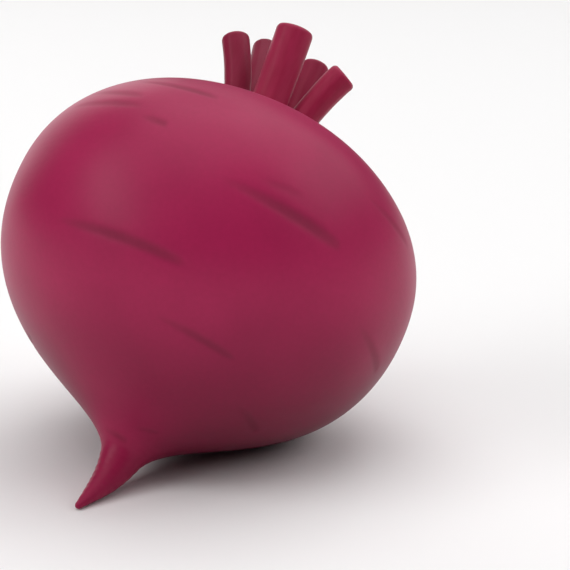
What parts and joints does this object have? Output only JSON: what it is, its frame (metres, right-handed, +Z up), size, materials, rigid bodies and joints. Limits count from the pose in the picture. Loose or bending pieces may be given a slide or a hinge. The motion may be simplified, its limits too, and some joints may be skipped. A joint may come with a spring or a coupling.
{
  "type": "beetroot",
  "caption": "A whole raw beetroot lying on a small flat of its bulb, with a short curved root and a tuft of cut leaf stalks.",
  "frame": {"origin": "the middle of the small flat the bulb rests on, at table height", "axes": "+Z is up; the beet's own axis lies in the XZ plane and leans 47.8 degrees above the table, with the leaf stalks toward +X and the root running out toward -X; +Y is sideways"},
  "size_m": [0.0842, 0.08, 0.0802],
  "materials": {
    "beet_skin": "smooth satin skin of a washed raw beetroot, deep crimson",
    "stalk_skin": "smooth satin skin of a cut leaf stalk, darker crimson"
  },
  "bodies": {
    "root": {"beet_bulb": "beet_skin", "leaf_stalk_1": "stalk_skin", "leaf_stalk_2": "stalk_skin", "leaf_stalk_3": "stalk_skin", "leaf_stalk_4": "stalk_skin", "leaf_stalk_5": "stalk_skin"}
  },
  "joints": []
}
